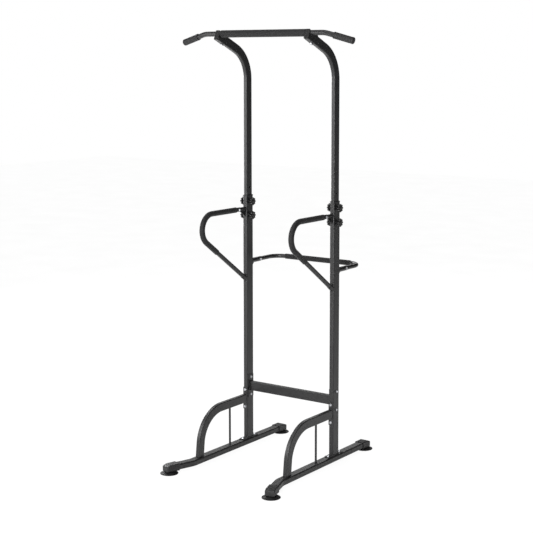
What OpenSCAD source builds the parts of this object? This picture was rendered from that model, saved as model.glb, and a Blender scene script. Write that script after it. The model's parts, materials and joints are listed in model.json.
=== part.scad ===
// Power tower: a free-standing pull-up and dip frame. Two lower uprights stand on base tubes with
// suction-cup feet; two upper tubes telescope in them and carry the pull-up bar.
// X runs along the pull-up bar, the user faces +Y, Z is up, and the floor is z = 0.

/* [Uprights] */
// Distance between the centres of the two uprights
upright_spacing = 534; // [440:1:640]
// Width of the lower upright tube, along X
lower_w = 25.5; // [23.5:0.5:40]
// Depth of the lower upright tube, along Y
lower_d = 54; // [50:0.5:70]
// Outer corner radius of the lower upright tube
lower_corner = 5; // [3:0.5:8]
// Wall of the upright tubes
upright_wall = 1.2; // [1:0.1:2]
// Height of the top of the lower uprights above the floor
lower_top_z = 1328; // [1150:1:1600]
// Thickness of the foot plates under the lower uprights
foot_plate_t = 4; // [3:0.5:8]
// Length of a foot plate, along Y
foot_plate_l = 132; // [120:1:180]
// Distance between the two bolts of a foot plate
foot_bolt_spacing = 104; // [90:1:120]

/* [Telescope] */
// Width of the upper tube, along X
upper_w = 20.5; // [16:0.5:20.9]
// Depth of the upper tube, along Y
upper_d = 45; // [36:0.5:47]
// Outer corner radius of the upper tube
upper_corner = 4; // [2.5:0.5:6]
// Distance between adjustment holes, and between the upper and lower lock knobs
hole_pitch = 72; // [60:1:90]
// Steps that the upper frame can go down from the height shown
steps_down = 1; // [0:1:2]
// Steps that the upper frame can go up from the height shown
steps_up = 3; // [1:1:4]
// Radius of an adjustment hole
hole_r = 5.5; // [5.3:0.1:7]
// Depth of the upper lock knobs below the top of the lower uprights
knob_drop = 27.5; // [27:0.5:60]
// Length of upper tube below its lowest adjustment hole
tube_tail = 62; // [40:1:120]
// Running gap between the upper tube and its guides
slide_gap = 0.3; // [0.25:0.05:0.4]
// Length of the guide bush inside the lower upright
bush_depth = 20; // [12:1:21]
// Height of the lip of the guide bush
bush_lip_h = 6; // [3:0.5:12]
// Overhang of the lip of the guide bush beyond the lower upright
bush_lip_over = 1.5; // [1:0.5:4]
// Height of the shoe that guides the lower end of the upper tube
shoe_h = 12; // [8:1:30]

/* [Lock knobs] */
// Radius of the knob's star, over its lobes
knob_r = 21; // [16:0.5:28]
// Thickness of the knob's star
knob_t = 11; // [8:0.5:20]
// Radius of one lobe
lobe_r = 4.6; // [3:0.1:6]
// Number of lobes
lobe_count = 8; // [5:1:9]
// Radius of the knob's neck
neck_r = 11; // [8:0.5:14]
// Length of the knob's neck
neck_l = 3; // [2:0.5:12]
// Radius of the knob's threaded stud
stud_r = 5; // [4:0.5:5]
// Travel of the knob between locked and free
knob_travel = 4; // [3.5:0.1:6]
// Gap between the stud's tip and the upper tube when the knob is free
tip_gap = 0.5; // [0.3:0.1:1]
// Running gap between stud and nut
stud_gap = 0.05; // [0.02:0.01:0.1]
// Thickness of the weld nuts
weld_nut_t = 4; // [3:0.5:8]
// Radius of the weld nuts
weld_nut_r = 10.5; // [8:0.5:12]
// Thickness of the knob washers
washer_t = 1.4; // [1:0.1:2.5]
// Radius of the knob washers
washer_r = 11.5; // [9:0.5:14]

/* [Base] */
// Width of the base tube
base_w = 45; // [40:1:60]
// Height of the base tube
base_h = 30; // [20:1:40]
// Corner radius of the base tube
base_corner = 7; // [3:0.5:9]
// Wall of the base tube and the braces
base_wall = 1.5; // [1.2:0.1:3]
// Length of straight base tube in front of the uprights
toe_start = 462; // [440:1:640]
// Outward angle of the front ends of the base tubes
toe_angle = 18; // [10:1:35]
// Bend radius of the base tube, to its centre line
toe_r = 90; // [60:1:140]
// Distance from the bend to the front foot
toe_run = 120; // [90:1:160]
// Distance from the uprights back to the rear foot
rear_reach = 294; // [230:1:400]
// Wall of the end caps
cap_wall = 3; // [2:0.5:5]
// Outer corner radius of the end caps
cap_corner = 5; // [3:0.5:10]
// Length of base tube inside an end cap
cap_cover = 52; // [40:1:70]
// Length of the solid nose of an end cap
cap_nose = 18; // [15:1:40]
// Length of the sloped top of the nose
cap_slope_l = 20; // [8:1:24]
// Drop of the sloped top of the nose
cap_slope_h = 7; // [3:0.5:12]
// Distance from the foot's centre to the end of the cap
cap_over = 24; // [24:1:50]

/* [Feet] */
// Radius of a suction cup
cup_r = 45; // [35:1:60]
// Thickness of the suction cup at its rim
cup_rim = 3; // [2:0.5:5]
// Height of the suction cup, up to the end cap
cup_h = 11; // [10:0.5:30]
// Radius of the suction cup's neck
cup_neck_r = 15; // [12:0.5:19]
// Depth of the hollow under the suction cup
cup_hollow = 3; // [1:0.5:4]
// Radius of the foot's stud
cup_stud_r = 4; // [3:0.5:5]

/* [Braces] */
// Width of the arch tube, along X
arch_w = 22; // [16:0.5:30]
// Depth of the arch tube, in its own plane
arch_d = 44; // [30:0.5:50]
// Corner radius of the arch tube
arch_corner = 4; // [2:0.5:6]
// Height of the arch tube's centre at the upright
arch_z = 261.5; // [230:0.5:300]
// Distance from the upright to the arch's bend centre
arch_bend_fwd = 240; // [200:1:300]
// Bend radius of the arch, to its centre line
arch_bend_r = 168; // [120:1:200]
// Angle of the arch's bend
arch_bend_angle = 84; // [75:1:88]
// Distance between the two bolts of an arch
arch_bolt_spacing = 90; // [70:1:110]
// Radius of the thin upright rod
rod_r = 5.5; // [3:0.5:8]
// Distance from the uprights to the thin rod
rod_fwd = 164; // [100:1:200]
// Height of the crossbar's centre
crossbar_z = 326; // [316:1:420]
// Height of the crossbar's tube
crossbar_h = 50; // [35:1:60]
// Depth of the crossbar's tube
crossbar_d = 20; // [15:1:30]
// Distance between the two bolts at an end of the crossbar
crossbar_bolt_spacing = 93; // [80:1:120]
// Thickness of the end plates
plate_t = 3; // [2.5:0.5:6]
// Length of plate beyond a bolt's centre
plate_edge = 13; // [10:1:20]

/* [Dip handles] */
// Height of the top of the dip handle, at its centre line
dip_z = 1263; // [1150:1:1268]
// Radius of the dip handle's tube
dip_r = 11.2; // [9:0.1:14]
// Wall of the handle tubes
handle_wall = 1.4; // [1:0.1:2]
// Distance from the uprights to the bolt of the dip handle
dip_bolt_fwd = 91; // [85:1:110]
// Length of handle tube on the stub, behind its bolt
dip_bar_in = 17; // [14:1:30]
// Distance from the uprights to the handle's bend centre
dip_bend_fwd = 303; // [250:1:360]
// Bend radius of the handle, to its centre line
dip_bend_r = 78; // [60:1:90]
// Downward angle of the handle's diagonal
dip_slope = 34.6; // [25:0.1:45]
// Distance from the uprights to the near end of the dip foam
dip_foam_fwd = 105; // [100:1:130]
// Length of foam on the diagonal
dip_foam_tail = 102; // [40:1:180]
// Thickness of the foam on the handles
foam_t = 2.9; // [2:0.1:10]
// Length of the stub inside the handle
stub_in = 46; // [36:1:60]
// Length of the lower socket of the dip handle
socket_l = 26; // [18:1:40]
// Length of the gusset under the dip stub
dip_gusset_l = 45; // [20:1:46]
// Height of the gusset under the dip stub
dip_gusset_h = 30; // [15:1:50]

/* [Rear bar] */
// Height of the rear bar
rear_z = 986; // [900:1:1080]
// Radius of the rear bar's tube
rear_r = 11; // [8:0.1:12]
// Distance from the uprights back to the straight part
rear_back = 250; // [200:1:320]
// Bend radius of the rear bar, to its centre line
rear_bend_r = 65; // [40:1:80]
// Distance from the uprights to the bolts of the rear bar
rear_bolt_back = 92; // [80:1:110]
// Length of the stub beyond its bolt
rear_stub_past = 14; // [12:1:30]
// Length of bar inside the stub, in front of its bolt
rear_bar_in = 30; // [20:1:40]
// Length of the gusset under the rear stub
rear_gusset_l = 22; // [15:1:50]
// Height of the gusset under the rear stub
rear_gusset_h = 26; // [15:1:50]

/* [Top] */
// Height at which the upper tubes start to bend
top_bend_z = 1929; // [1750:0.1:2200]
// Bend radius of the upper tubes, to their centre line
top_bend_r = 165; // [120:1:190]
// Angle of the bend of the upper tubes
top_bend_angle = 66.5; // [50:0.5:80]
// Distance from the bend to the pull-up bar
top_run = 151; // [120:0.1:240]
// Radius of the pull-up bar
bar_r = 12.7; // [11:0.1:16]
// Wall of the pull-up bar
bar_wall = 1.5; // [1.2:0.1:3]
// Distance from the bar's middle to its tips
bar_half = 504; // [450:1:650]
// Distance from the bar's middle to the corners where its ends turn down
bar_corner_x = 356; // [330:1:420]
// Angle of the turned-down ends
bar_end_angle = 16.7; // [5:0.1:30]
// Backward tilt of the turned-down ends
bar_end_tilt = 24; // [0:1:60]
// Bend radius of the bar
bar_bend_r = 120; // [80:1:160]
// Thickness of the foam on the middle of the bar
bar_foam_t = 5.5; // [2:0.1:8]
// Thickness of the grips on the bar's ends
grip_t = 3.9; // [2:0.1:6]
// Length of a grip, with its closed end
grip_l = 106; // [80:1:130]
// Thickness of the closed end of a grip
grip_end = 5; // [3:0.5:10]
// Wall of the bar brackets
bracket_wall = 2.5; // [2:0.1:5]
// Length of a bar bracket
bracket_l = 75; // [66:1:100]
// Thickness of the front plate of a bar bracket
bracket_plate_t = 3; // [2:0.5:5]
// Distance from the front of the bracket to its bolt
bracket_bolt_back = 54; // [50:1:60]

/* [Fasteners] */
// Radius of the bolts
bolt_r = 4; // [3:0.5:4]
// Clearance of the bolt holes, on the radius
bolt_gap = 0.3; // [0.2:0.1:0.5]
// Width across the flats of bolt heads and nuts
hex_af = 12; // [11:0.5:15]
// Thickness of the bolt heads
head_t = 4; // [4:0.5:8]
// Thickness of the nuts
nut_t = 6; // [4:0.5:8]
// Length of bolt beyond its nut
bolt_past = 2; // [1:0.5:4]
// Gap between parts that are pushed together and do not move
fit_gap = 0.1; // [0.05:0.01:0.15]

/* [Hidden] */
$fn = 48;
eps = 0.5;
join_lap = 0.2;
join_scale = 1.004;
seat_gap = 0.2;
clear_gap = 1;
far = 400;
left = -1;
right = 1;

base_under_z = cup_h + cap_wall + fit_gap + base_h * (join_scale - 1) / 2;
base_top_z = base_under_z + base_h;
foot_top_z = base_top_z + foot_plate_t;
foot_front = toe_start + toe_r * sin(toe_angle) + toe_run * cos(toe_angle);
upright_y = (foot_front - rear_reach) / 2;
upright_x = upright_spacing / 2;

lower_in_w = lower_w - 2 * upright_wall;
lower_in_d = lower_d - 2 * upright_wall;
lower_in_corner = lower_corner - upright_wall;
knob_z = lower_top_z - knob_drop;
lowest_hole_z = knob_z - hole_pitch * (steps_up + 1);
highest_hole_z = knob_z + hole_pitch * steps_down;
tube_end_z = lowest_hole_z - tube_tail;

knob_foot_x = lower_w / 2 + weld_nut_t;
washer_x = knob_foot_x + seat_gap + knob_travel;
neck_x = washer_x + washer_t + fit_gap;
tip_x = upper_w / 2 + tip_gap;

dip_stub_r = dip_r - handle_wall - fit_gap;
dip_start_fwd = dip_bolt_fwd - dip_bar_in;
dip_bend_angle = 180 - dip_slope;
dip_bend_end_fwd = dip_bend_fwd + dip_bend_r * sin(dip_bend_angle);
dip_diagonal = (dip_bend_end_fwd - lower_d / 2) / cos(dip_slope);

rear_stub_r = rear_r + handle_wall + fit_gap;
rear_stub_end = rear_bolt_back + rear_stub_past;
rear_straight = upright_spacing - 2 * rear_bend_r;

bar_bend_end = bar_bend_r * tan(bar_end_angle / 2);
bar_tail = (bar_half - bar_corner_x) / cos(bar_end_angle) - bar_bend_end - grip_end;
bracket_w = upper_w + 2 * (bracket_wall + fit_gap);
bracket_d = upper_d + 2 * (bracket_wall + fit_gap);
bar_lift = bracket_d / 2 - bar_r;
bracket_front = top_run + bar_r + clear_gap + bracket_plate_t;
bracket_back = bracket_front - bracket_l;
bracket_bolt = bracket_front - bracket_bolt_back;
tube_stop = top_run - bar_r - 2 * clear_gap;
bar_y = -(top_bend_r * (1 - cos(top_bend_angle)) + top_run * sin(top_bend_angle)
    - bar_lift * cos(top_bend_angle));
bar_z = top_bend_z + top_bend_r * sin(top_bend_angle) + top_run * cos(top_bend_angle)
    + bar_lift * sin(top_bend_angle);

frame_black = "#3a3a3c";
plastic_black = "#242426";
rubber_black = "#1c1c1e";
foam_black = "#2e2e30";
bolt_silver = "#d8d8da";

// ---- outlines and paths ----

module rounded_rect(w, d, r) {
    square([w - 2 * r, d], center = true);
    square([w, d - 2 * r], center = true);
    for (sx = [-1, 1], sy = [-1, 1])
        translate([sx * (w / 2 - r), sy * (d / 2 - r)])
            circle(r);
}

module box_section(w, d, r, wall) {
    difference() {
        rounded_rect(w, d, r);
        rounded_rect(w - 2 * wall, d - 2 * wall, r - wall);
    }
}

module ring(outer_r, inner_r) {
    difference() {
        circle(outer_r);
        circle(inner_r);
    }
}

// Draws a flat outline along a path of straight runs [length] and bends [radius, angle] towards +X.
// A run that follows a bend is a hair larger and starts just inside it, so the two join into one.
module along(path, k = 0) {
    if (k < len(path)) {
        step = path[k];
        if (len(step) == 1) {
            lap = k > 0 ? join_lap : 0;
            translate([0, 0, -lap])
                linear_extrude(height = step[0] + lap)
                    scale(k > 0 ? join_scale : 1)
                        children();
            translate([0, 0, step[0]])
                along(path, k + 1)
                    children();
        } else {
            translate([step[0], 0, 0])
                rotate([90, 0, 180])
                    rotate_extrude(angle = step[1], $fn = 96)
                        translate([step[0], 0])
                            children();
            translate([step[0], 0, 0])
                rotate([0, step[1], 0])
                    translate([-step[0], 0, 0])
                        along(path, k + 1)
                            children();
        }
    }
}

// Puts a part that is drawn around an upright's centre line on the left or the right upright
module on_side(side) {
    translate([0, upright_y, 0])
        mirror([side < 0 ? 1 : 0, 0, 0])
            translate([upright_x, 0, 0])
                children();
}

module both_sides() {
    for (side = [left, right])
        on_side(side)
            children();
}

// Turns a path so that it starts forward, along -Y, and bends down
module forward_then_down() {
    rotate([90, 0, 0])
        rotate([0, 0, -90])
            children();
}

module rod_x(r, x0, x1) {
    translate([x0, 0, 0])
        rotate([0, 90, 0])
            cylinder(r = r, h = x1 - x0);
}

module rod_y(r, y0, y1) {
    translate([0, y0, 0])
        rotate([-90, 0, 0])
            cylinder(r = r, h = y1 - y0);
}

// A space that keeps only what is in front of an upright's front face
module in_front(gap = 0) {
    intersection() {
        children();
        translate([-far, -lower_d / 2 - gap - 2 * far, 0])
            cube([2 * far, 2 * far, lower_top_z + far]);
    }
}

// ---- fasteners: each starts at the seat under its head and runs along +Z ----

module hex(h) {
    cylinder(r = hex_af / sqrt(3), h = h, $fn = 6);
}

module bolt(grip) {
    translate([0, 0, -head_t])
        hex(head_t);
    cylinder(r = bolt_r, h = grip + nut_t + bolt_past);
}

module nut(grip) {
    translate([0, 0, grip])
        difference() {
            hex(nut_t);
            translate([0, 0, -eps])
                cylinder(r = bolt_r + fit_gap / 2, h = nut_t + 2 * eps);
        }
}

module bolt_hole(grip) {
    translate([0, 0, -eps])
        cylinder(r = bolt_r + bolt_gap, h = grip + 2 * eps);
}

// The place and the direction of each set of bolts, with the length that it clamps
foot_grip = foot_plate_t + base_h;
module foot_bolt_places() {
    both_sides()
        for (s = [-1, 1])
            translate([0, s * foot_bolt_spacing / 2, foot_top_z])
                mirror([0, 0, 1])
                    children();
}

arch_grip = plate_t + lower_d;
module arch_bolt_places() {
    for (s = [-1, 1])
        translate([0, -lower_d / 2 - plate_t, arch_z + s * arch_bolt_spacing / 2])
            rotate([-90, 0, 0])
                children();
}

crossbar_grip = plate_t + lower_w;
module crossbar_bolt_places() {
    for (s = [-1, 1])
        translate([-lower_w / 2 - plate_t, 0, crossbar_z + s * crossbar_bolt_spacing / 2])
            rotate([0, 90, 0])
                children();
}

dip_grip = 2 * dip_r;
module dip_bolt_place() {
    translate([dip_r, -dip_bolt_fwd, dip_z])
        rotate([0, -90, 0])
            children();
}

rear_grip = 2 * rear_stub_r;
module rear_bolt_place() {
    translate([rear_stub_r, rear_bolt_back, rear_z])
        rotate([0, -90, 0])
            children();
}

bracket_grip = bracket_d;
module bracket_bolt_place() {
    at_top_run()
        translate([-bracket_d / 2, 0, bracket_bolt])
            rotate([0, 90, 0])
                children();
}

// ---- base and feet ----

// The plan of a base tube, from its rear end to its front end
module base_path() {
    rear_length = rear_reach + cap_over - cap_nose;
    translate([0, rear_length, base_under_z + base_h / 2])
        rotate([90, 0, 0])
            along([[rear_length + toe_start], [toe_r, toe_angle], [toe_run + cap_over - cap_nose]])
                children();
}

// The frame of a foot: its centre on the floor, the outer end of the cap towards -Y
module at_front_foot() {
    translate([toe_r * (1 - cos(toe_angle)) + toe_run * sin(toe_angle), -foot_front, 0])
        rotate([0, 0, toe_angle])
            children();
}

module at_rear_foot() {
    translate([0, rear_reach, 0])
        rotate([0, 0, 180])
            children();
}

module at_feet() {
    at_front_foot()
        children();
    at_rear_foot()
        children();
}

module base_tube(side) {
    color(frame_black)
        on_side(side)
            difference() {
                base_path()
                    box_section(base_w, base_h, base_corner, base_wall);
                at_feet()
                    cylinder(r = cup_stud_r + fit_gap, h = base_under_z + base_h / 2);
                for (s = [-1, 1])
                    translate([0, s * foot_bolt_spacing / 2, base_under_z])
                        bolt_hole(base_h);
            }
}

module end_cap() {
    mouth_w = base_w * join_scale + 2 * fit_gap;
    mouth_h = base_h * join_scale + 2 * fit_gap;
    cap_w = mouth_w + 2 * cap_wall;
    cap_h = mouth_h + 2 * cap_wall;
    mid_z = base_under_z + base_h / 2;
    difference() {
        translate([0, cap_cover + cap_nose - cap_over, mid_z])
            rotate([90, 0, 0])
                linear_extrude(height = cap_cover + cap_nose)
                    rounded_rect(cap_w, cap_h, cap_corner);
        translate([0, cap_cover + cap_nose - cap_over + eps, mid_z])
            rotate([90, 0, 0])
                linear_extrude(height = cap_cover + eps + fit_gap)
                    rounded_rect(mouth_w, mouth_h, base_corner + fit_gap);
        translate([0, -cap_over + cap_slope_l, mid_z + cap_h / 2])
            rotate([atan(cap_slope_h / cap_slope_l), 0, 0])
                translate([-cap_w, -2 * cap_slope_l, 0])
                    cube([2 * cap_w, 2 * cap_slope_l, cap_h]);
        cylinder(r = cup_stud_r + fit_gap, h = mid_z);
    }
}

module front_cap(side) {
    color(plastic_black)
        on_side(side)
            at_front_foot()
                end_cap();
}

module rear_cap(side) {
    color(plastic_black)
        on_side(side)
            at_rear_foot()
                end_cap();
}

// Half section of a suction cup: a thin rim, a sloped skirt, a neck and a shallow hollow underneath
module cup_outline() {
    hollow_r = (pow(cup_r - cup_rim, 2) + pow(cup_hollow, 2)) / (2 * cup_hollow);
    skirt_z = cup_h - cup_rim;
    difference() {
        polygon([[0, 0], [cup_r, 0], [cup_r, cup_rim], [cup_neck_r + cup_rim, skirt_z - cup_rim / 4],
            [cup_neck_r, skirt_z], [cup_neck_r, cup_h], [0, cup_h]]);
        translate([0, cup_hollow - hollow_r])
            circle(r = hollow_r, $fn = 360);
        translate([-eps, cup_h / 2])
            square([cup_stud_r + eps, cup_h]);
    }
}

module suction_cup() {
    rotate_extrude($fn = 64)
        intersection() {
            cup_outline();
            square([cup_r + eps, cup_h + eps]);
        }
}

module front_cup(side) {
    color(rubber_black)
        on_side(side)
            at_front_foot()
                suction_cup();
}

module rear_cup(side) {
    color(rubber_black)
        on_side(side)
            at_rear_foot()
                suction_cup();
}

module cup_studs() {
    color(bolt_silver)
        both_sides()
            at_feet()
                translate([0, 0, cup_h / 2])
                    cylinder(r = cup_stud_r, h = base_under_z + base_h / 2 - cup_h / 2);
}

// ---- braces ----

module arch_tube() {
    start = lower_d / 2 + plate_t / 2;
    difference() {
        translate([0, -start, arch_z])
            forward_then_down()
                along([[arch_bend_fwd - start], [arch_bend_r, arch_bend_angle], [arch_bend_r]])
                    box_section(arch_d, arch_w, arch_corner, base_wall);
        translate([-far, -2 * far, base_top_z - far])
            cube([2 * far, 2 * far, far]);
    }
}

module arch_brace(side) {
    plate_h = arch_bolt_spacing + 2 * plate_edge;
    color(frame_black)
        on_side(side)
            difference() {
                union() {
                    arch_tube();
                    translate([-lower_w / 2, -lower_d / 2 - plate_t, arch_z - plate_h / 2])
                        cube([lower_w, plate_t, plate_h]);
                }
                arch_bolt_places()
                    bolt_hole(arch_grip);
            }
}

module brace_rods() {
    color(frame_black)
        both_sides()
            translate([0, -rod_fwd, base_top_z])
                cylinder(r = rod_r, h = arch_z - arch_d / 2 - base_top_z);
}

module crossbar() {
    plate_h = crossbar_bolt_spacing + 2 * plate_edge;
    half = upright_x - lower_w / 2;
    color(frame_black)
        difference() {
            union() {
                translate([-half + plate_t / 2, upright_y, crossbar_z])
                    rotate([0, 90, 0])
                        linear_extrude(height = 2 * half - plate_t)
                            box_section(crossbar_h, crossbar_d, arch_corner, base_wall);
                for (s = [-1, 1])
                    translate([s * (half - plate_t / 2), upright_y, crossbar_z])
                        cube([plate_t, lower_d - 2 * lower_corner, plate_h], center = true);
            }
            both_sides()
                crossbar_bolt_places()
                    bolt_hole(plate_t);
        }
}

// ---- lower uprights ----

module dip_stub() {
    translate([0, 0, dip_z])
        rod_y(dip_stub_r, -dip_start_fwd - stub_in, -lower_d / 2 + upright_wall / 2);
    translate([-plate_t / 2, -lower_d / 2 + upright_wall / 2, dip_z - dip_stub_r / 2])
        rotate([90, 0, 90])
            linear_extrude(height = plate_t)
                polygon([[0, 0], [-dip_gusset_l, 0], [-dip_gusset_l, -dip_stub_r / 2],
                    [0, -dip_stub_r / 2 - dip_gusset_h]]);
}

// The centre line of the dip handle's diagonal, from the end of its bend to the upright
module at_dip_diagonal() {
    translate([0, -dip_bend_end_fwd, dip_z - dip_bend_r * (1 - cos(dip_bend_angle))])
        rotate([-90 - dip_slope, 0, 0])
            children();
}

module dip_socket() {
    in_front()
        at_dip_diagonal()
            translate([0, 0, dip_diagonal - socket_l])
                linear_extrude(height = 2 * socket_l)
                    ring(dip_r + handle_wall + fit_gap, dip_r + fit_gap);
}

module rear_stub() {
    difference() {
        union() {
            translate([0, 0, rear_z])
                rod_y(rear_stub_r, lower_d / 2 - upright_wall / 2, rear_stub_end);
            translate([-plate_t / 2, lower_d / 2 - upright_wall / 2, rear_z - rear_stub_r / 2])
                rotate([90, 0, 90])
                    linear_extrude(height = plate_t)
                        polygon([[0, 0], [rear_gusset_l, 0], [rear_gusset_l, -rear_stub_r / 2],
                            [0, -rear_stub_r / 2 - rear_gusset_h]]);
        }
        translate([0, 0, rear_z])
            rod_y(rear_r + fit_gap, lower_d / 2, rear_stub_end + eps);
    }
}

module lower_upright(side) {
    color(frame_black)
        on_side(side)
            difference() {
                union() {
                    translate([0, 0, foot_top_z - foot_plate_t / 2])
                        linear_extrude(height = lower_top_z - foot_top_z + foot_plate_t / 2)
                            box_section(lower_w, lower_d, lower_corner, upright_wall);
                    translate([0, 0, base_top_z])
                        linear_extrude(height = foot_plate_t)
                            rounded_rect(base_w - 2 * base_corner, foot_plate_l, base_corner);
                    dip_stub();
                    dip_socket();
                    rear_stub();
                }
                for (s = [-1, 1])
                    translate([0, s * foot_bolt_spacing / 2, base_top_z])
                        bolt_hole(foot_plate_t);
                for (z = [knob_z, knob_z - hole_pitch])
                    translate([0, 0, z])
                        rod_x(stud_r + bolt_gap, -lower_w, lower_w);
                arch_bolt_places()
                    bolt_hole(arch_grip);
                crossbar_bolt_places()
                    bolt_hole(crossbar_grip);
                dip_bolt_place()
                    bolt_hole(dip_grip);
                rear_bolt_place()
                    bolt_hole(rear_grip);
            }
}

module guide_bush(side) {
    color(plastic_black)
        on_side(side)
            difference() {
                union() {
                    translate([0, 0, lower_top_z - bush_depth])
                        linear_extrude(height = bush_depth + eps)
                            rounded_rect(lower_in_w - 2 * fit_gap, lower_in_d - 2 * fit_gap,
                                lower_in_corner - fit_gap);
                    translate([0, 0, lower_top_z])
                        linear_extrude(height = bush_lip_h)
                            rounded_rect(lower_w + 2 * bush_lip_over, lower_d + 2 * bush_lip_over,
                                lower_corner + bush_lip_over);
                }
                translate([0, 0, lower_top_z - bush_depth - eps])
                    linear_extrude(height = bush_depth + bush_lip_h + 2 * eps)
                        rounded_rect(upper_w + 2 * slide_gap, upper_d + 2 * slide_gap,
                            upper_corner + slide_gap);
            }
}

// ---- lock knobs: drawn along +X from an upright's centre line ----

module at_knob(side, row, face) {
    on_side(side)
        translate([0, 0, row > 0 ? knob_z : knob_z - hole_pitch])
            rotate([0, 0, face > 0 ? 0 : 180])
                children();
}

module weld_nuts() {
    color(frame_black)
        for (side = [left, right], row = [-1, 1], face = [-1, 1])
            at_knob(side, row, face)
                difference() {
                    rod_x(weld_nut_r, lower_w / 2, knob_foot_x);
                    rod_x(stud_r + stud_gap, lower_w / 2 - eps, knob_foot_x + eps);
                }
}

module lock_knob(side, row, face) {
    color(plastic_black)
        at_knob(side, row, face) {
            translate([neck_x + neck_l, 0, 0])
                rotate([0, 90, 0])
                    linear_extrude(height = knob_t) {
                        circle(knob_r - lobe_r);
                        for (k = [0 : lobe_count - 1])
                            rotate(k * 360 / lobe_count)
                                translate([knob_r - lobe_r, 0])
                                    circle(lobe_r);
                    }
            rod_x(neck_r, neck_x, neck_x + neck_l);
            rod_x(stud_r, tip_x, neck_x + neck_l);
        }
}

module knob_washer(side, row, face) {
    color(plastic_black)
        at_knob(side, row, face)
            difference() {
                rod_x(washer_r, washer_x, washer_x + washer_t);
                rod_x(stud_r + stud_gap, washer_x - eps, washer_x + washer_t + eps);
            }
}

// ---- dip handles and rear bar ----

module dip_path(start_fwd, tail) {
    translate([0, -start_fwd, dip_z])
        forward_then_down()
            along([[dip_bend_fwd - start_fwd], [dip_bend_r, dip_bend_angle], [tail]])
                children();
}

module dip_handle(side) {
    color(frame_black)
        on_side(side)
            difference() {
                in_front(clear_gap)
                    dip_path(dip_start_fwd, dip_diagonal)
                        ring(dip_r, dip_r - handle_wall);
                dip_bolt_place()
                    bolt_hole(dip_grip);
            }
}

module dip_foam(side) {
    color(foam_black)
        on_side(side)
            dip_path(dip_foam_fwd, dip_foam_tail)
                ring(dip_r + foam_t, dip_r + fit_gap);
}

module rear_bar() {
    start = rear_bolt_back - rear_bar_in;
    arm = rear_back - rear_bend_r - start;
    color(frame_black)
        difference() {
            translate([-upright_x, upright_y + start, rear_z])
                rotate([-90, 0, 0])
                    along([[arm], [rear_bend_r, 90], [rear_straight], [rear_bend_r, 90], [arm]])
                        ring(rear_r, rear_r - handle_wall);
            both_sides()
                rear_bolt_place()
                    bolt_hole(rear_grip);
        }
}

module rear_bar_foam() {
    color(foam_black)
        translate([-rear_straight / 2, upright_y + rear_back, rear_z])
            rotate([0, 90, 0])
                linear_extrude(height = rear_straight)
                    ring(rear_r + foam_t, rear_r + fit_gap);
}

// ---- upper frame ----

// The straight top run of an upper tube: +Z along it, +X forward and down
module at_top_run() {
    rotate([0, 0, -90])
        translate([top_bend_r * (1 - cos(top_bend_angle)), 0,
            top_bend_z + top_bend_r * sin(top_bend_angle)])
            rotate([0, top_bend_angle, 0])
                children();
}

module upper_tube(side) {
    color(frame_black)
        on_side(side)
            difference() {
                translate([0, 0, tube_end_z])
                    rotate([0, 0, -90])
                        along([[top_bend_z - tube_end_z], [top_bend_r, top_bend_angle], [tube_stop]])
                            box_section(upper_d, upper_w, upper_corner, upright_wall);
                for (k = [0 : steps_down + steps_up + 1])
                    translate([0, 0, highest_hole_z - k * hole_pitch])
                        rod_x(hole_r, -lower_w, lower_w);
                bracket_bolt_place()
                    bolt_hole(bracket_grip);
            }
}

module tube_shoes() {
    spigot = shoe_h * 2;
    inner_w = upper_w - 2 * upright_wall - 2 * fit_gap;
    inner_d = upper_d - 2 * upright_wall - 2 * fit_gap;
    color(plastic_black)
        both_sides() {
            translate([0, 0, tube_end_z - shoe_h])
                linear_extrude(height = shoe_h)
                    rounded_rect(lower_in_w - 2 * slide_gap, lower_in_d - 2 * slide_gap,
                        lower_in_corner);
            translate([0, 0, tube_end_z - eps])
                linear_extrude(height = spigot)
                    rounded_rect(inner_w, inner_d, upper_corner - upright_wall);
        }
}

module bar_bracket(side) {
    color(frame_black)
        on_side(side)
            difference() {
                at_top_run()
                    difference() {
                        translate([0, 0, bracket_back])
                            linear_extrude(height = bracket_l)
                                rounded_rect(bracket_d, bracket_w, upper_corner);
                        translate([0, 0, bracket_back - eps])
                            linear_extrude(height = bracket_l - bracket_plate_t + eps)
                                rounded_rect(upper_d + 2 * fit_gap, upper_w + 2 * fit_gap,
                                    upper_corner + fit_gap);
                        translate([-bar_lift, 0, top_run])
                            rotate([90, 0, 0])
                                cylinder(r = bar_r + fit_gap, h = 2 * bracket_w, center = true);
                        translate([-bracket_d, -bracket_w, top_run - bar_r - fit_gap])
                            cube([bracket_d - bar_lift, 2 * bracket_w, 2 * (bar_r + fit_gap)]);
                    }
                bracket_bolt_place()
                    bolt_hole(bracket_grip);
            }
}

// Half of the bar, from its middle to the right: +Z outwards, +X the way the end turns
module on_bar_half(side) {
    translate([0, upright_y + bar_y, bar_z])
        mirror([side < 0 ? 1 : 0, 0, 0])
            rotate([bar_end_tilt, 0, 0])
                rotate([0, 90, 0])
                    children();
}

module pull_up_bar() {
    color(frame_black)
        for (side = [left, right])
            on_bar_half(side)
                along([[bar_corner_x - bar_bend_end], [bar_bend_r, bar_end_angle], [bar_tail]])
                    ring(bar_r, bar_r - bar_wall);
}

module bar_foam() {
    half = upright_x - bracket_w / 2 - clear_gap;
    color(foam_black)
        translate([-half, upright_y + bar_y, bar_z])
            rotate([0, 90, 0])
                linear_extrude(height = 2 * half)
                    ring(bar_r + bar_foam_t, bar_r + fit_gap);
}

module bar_grip(side) {
    outer = bar_r + grip_t;
    color(rubber_black)
        on_bar_half(side)
            translate([0, 0, bar_corner_x])
                rotate([0, bar_end_angle, 0])
                    translate([0, 0, bar_bend_end + bar_tail + grip_end - grip_l])
                        difference() {
                            rotate_extrude()
                                grip_outline(outer);
                            translate([0, 0, -eps])
                                cylinder(r = bar_r * join_scale + fit_gap, h = grip_l - grip_end + eps);
                        }
}

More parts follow.
